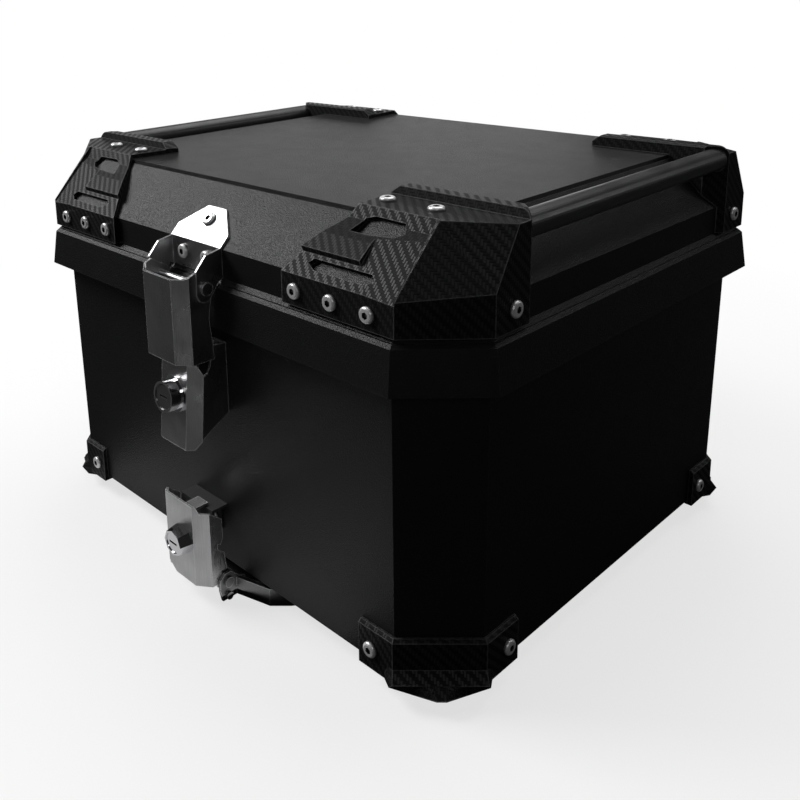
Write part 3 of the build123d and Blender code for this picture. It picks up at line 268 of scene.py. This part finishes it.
def screw_steel(name, color, rough):
    """Zinc-plated heads: bright satin dome, painted shade in the hex socket and round the seat."""
    finish = Finish(name, color, rough, metal=0.5)
    marks = finish.noise(900.0, 4.0)
    finish.bump(marks, 0.00001)
    plated = finish.mixed(marks, shaded(color, 0.85), color)
    # painted shade: ambient occlusion darkens the socket and the seat almost to black
    finish.color(finish.mixed(finish.occlusion_shade(0.004), plated, (0.012, 0.012, 0.012)))
    finish.rough(finish.ranged(finish.noise(150.0, 3.0), 0.3, 0.7, rough * 0.8, rough * 1.3))
    return finish.material


def soft_rubber(name, color):
    """Matt rubber with a fine dusty grain."""
    finish = Finish(name, color, 0.75)
    finish.bump(finish.noise(1500.0, 3.0), 0.00008)
    finish.color(finish.mixed(finish.noise(30.0, 4.0), shaded(color, 0.8), shaded(color, 1.4)))
    return finish.material


FINISHES = {
    "shell_plastic": grained_plastic("shell_plastic", (0.008, 0.008, 0.0083), 0.40, 0.0006, 0.00016),
    "guard_weave": twill("guard_weave"),
    "rail_black": satin_metal("rail_black", (0.022, 0.022, 0.023), 0.34),
    "black_steel": satin_metal("black_steel", (0.02, 0.02, 0.02), 0.42),
    "rubber": soft_rubber("rubber", (0.02, 0.02, 0.02)),
    "lock_chrome": bright_metal("lock_chrome", (0.82, 0.82, 0.84), 0.10),
    "lock_face_black": satin_metal("lock_face_black", (0.035, 0.035, 0.037), 0.3),
    "fastener_steel": screw_steel("fastener_steel", (0.92, 0.92, 0.93), 0.3),
    "stainless": brushed("stainless", (0.55, 0.55, 0.56), 0.27, (2200.0, 2200.0, 50.0), 0.00012),
}
DULL_STEEL = brushed("dull_steel", (0.24, 0.24, 0.245), 0.38, (50.0, 2200.0, 2200.0), 0.0001)
DULL_NODES = ("base_plate", "base_plate_studs", "base_lever_pin")  # weathered pieces below the case

# Edge rounding of each piece, in metres
ROUND = {
    "body_shell": 0.0009,
    "lid_shell": 0.0009,
    "hasp": 0.00045,
    "lock_bracket": 0.00045,
    "base_lever": 0.00045,
    "lid_bracket": 0.0004,
    "lock_barrel": 0.0004,
    "base_lock_barrel": 0.0004,
    "lid_guard_screws": 0.0003,
}
GUARD_ROUND = 0.0008
EDGE_ANGLE = math.radians(28)  # only edges sharper than this are rounded

slots = {part["node"]: part["material_slot"] for part in frame["record"]["subparts"]}
for name, shown in nodes.items():
    shown.data.materials.clear()
    shown.data.materials.append(DULL_STEEL if name in DULL_NODES else FINISHES[slots[name]])
    for polygon in shown.data.polygons:
        polygon.use_smooth = False
    width = ROUND.get(name, GUARD_ROUND if slots[name] == "guard_weave" else 0.0)
    if width:
        bevel = shown.modifiers.new("edge", "BEVEL")
        bevel.width = width
        bevel.segments = 2
        bevel.limit_method = "ANGLE"
        bevel.angle_limit = EDGE_ANGLE
        bevel.harden_normals = False

# Stage


def stage_mesh(name, points, faces, material):
    mesh = bpy.data.meshes.new(name)
    mesh.from_pydata(points, [], faces)
    mesh.materials.append(material)
    made = bpy.data.objects.new(name, mesh)
    bpy.context.scene.collection.objects.link(made)
    return made


def split_by_camera(tree, seen, reflected):
    """White world that is one brightness to the camera and another in reflections."""
    path = tree.nodes.new("ShaderNodeLightPath")
    mix = tree.nodes.new("ShaderNodeMixShader")
    tree.links.new(path.outputs["Is Camera Ray"], mix.inputs[0])
    for index, strength in ((1, reflected), (2, seen)):
        background = tree.nodes.new("ShaderNodeBackground")
        background.inputs[0].default_value = (1, 1, 1, 1)
        background.inputs[1].default_value = strength
        tree.links.new(background.outputs[0], mix.inputs[index])
    return mix.outputs[0]


def pale_floor():
    """Floor that fades to plain white in the picture and stays dark in the case's reflections."""
    pale = Finish("floor_pale", (0.9, 0.9, 0.9), 0.9, specular=0.1)
    path = pale.node("LightPath")
    dark = pale.node("BsdfDiffuse")
    dark.inputs[0].default_value = (0.04, 0.04, 0.04, 1)
    glow = pale.node("Emission")
    glow.inputs[1].default_value = 1.0
    away = pale.node("VectorMath", operation="LENGTH")
    pale.link(pale.place, away.inputs[0])
    fade = pale.ranged(away.outputs["Value"], 0.25, 0.80, 0.7, 1.0)
    lit = pale.node("MixShader")
    pale.link(fade, lit.inputs[0])
    pale.link(pale.shader.outputs[0], lit.inputs[1])
    pale.link(glow.outputs[0], lit.inputs[2])
    choose = pale.node("MixShader")
    pale.link(path.outputs["Is Camera Ray"], choose.inputs[0])
    pale.link(dark.outputs[0], choose.inputs[1])
    pale.link(lit.outputs[0], choose.inputs[2])
    pale.link(choose.outputs[0], pale.tree.nodes["Material Output"].inputs["Surface"])
    return pale.material


WORLD_SEEN = 1.0
WORLD_REFLECTED = 0.014
FLOOR_HALF = 6.0
FLOOR_GAP = 0.0005  # below the case's lowest point
CARD_Z = 0.004

world = bpy.data.worlds.new("studio")
bpy.context.scene.world = world
world.use_nodes = True
out = world.node_tree.nodes["World Output"]
surface = split_by_camera(world.node_tree, WORLD_SEEN, WORLD_REFLECTED)
world.node_tree.links.new(surface, out.inputs["Surface"])

floor_z = cad_low.z - FLOOR_GAP
signs = ((-1, -1), (1, -1), (1, 1), (-1, 1))
corners = [(x * FLOOR_HALF, y * FLOOR_HALF, floor_z) for x, y in signs]
floor = stage_mesh("studio_floor", corners, [(0, 1, 2, 3)], pale_floor())


def softbox(name, place, target, width, height, power):
    """Area light the camera can't see, aimed from its place at a target."""
    data = bpy.data.lights.new(name, "AREA")
    data.shape = "RECTANGLE"
    data.size = width
    data.size_y = height
    data.energy = power
    made = bpy.data.objects.new(name, data)
    bpy.context.scene.collection.objects.link(made)
    made.location = place
    made.rotation_euler = (Vector(target) - Vector(place)).to_track_quat("-Z", "Y").to_euler()
    made.visible_camera = False


def floor_card(name, x, y, width, depth, power):
    """Small light just above the floor, facing up, for the metal pieces to reflect."""
    softbox(name, (x, y, CARD_Z), (x, y, 1.0), width, depth, power)


softbox("top_soft", (-0.1, 0.6, 1.6), (0, 0, 0.25), 1.5, 1.2, 16)
softbox("front_left_soft", (-1.25, -0.85, 1.35), (0, -0.15, 0.22), 0.8, 0.8, 28)
softbox("back_card", (-1.4, 1.1, 0.42), (0, 0, 0.28), 1.8, 0.7, 4.8)
softbox("side_kick", (1.2, 1.4, 0.9), (0.2, 0, 0.25), 0.5, 0.5, 1.8)
softbox("camera_fill", (0.95, -0.95, 0.8), (0, 0, 0.15), 0.3, 0.3, 1.2)
floor_card("floor_card", -0.03, -0.25, 0.30, 0.14, 0.065)
floor_card("floor_strip", 0.25, -0.66, 0.14, 0.34, 0.05)

# Camera

AZIMUTH = math.radians(47.679)
ELEVATION = math.radians(13.066)
ROLL = math.radians(-1.750)
SENSOR = 36.0
LENS = 41.1318
SHIFT_X = 0.123325  # lens shift, in sensor widths
SHIFT_Y = -0.254388
CAMERA_PLACE = (0.46410, -0.50666, 0.39815)

reach = math.cos(ELEVATION)
forward = Vector((-math.sin(AZIMUTH) * reach, math.cos(AZIMUTH) * reach, -math.sin(ELEVATION)))
right = Vector((math.cos(AZIMUTH), math.sin(AZIMUTH), 0))
up = right.cross(forward)
turned_right = math.cos(ROLL) * right + math.sin(ROLL) * up
turned_up = math.cos(ROLL) * up - math.sin(ROLL) * right
data = bpy.data.cameras.new("photo_view")
data.sensor_width = SENSOR
data.lens = LENS
data.shift_x = SHIFT_X
data.shift_y = SHIFT_Y
data.clip_start = 0.01
camera = bpy.data.objects.new("photo_view", data)
bpy.context.scene.collection.objects.link(camera)
axes = Matrix((turned_right, turned_up, -forward)).transposed().to_4x4()
camera.matrix_world = Matrix.Translation(CAMERA_PLACE) @ axes
bpy.context.scene.camera = camera
bpy.context.scene.view_settings.view_transform = "Standard"
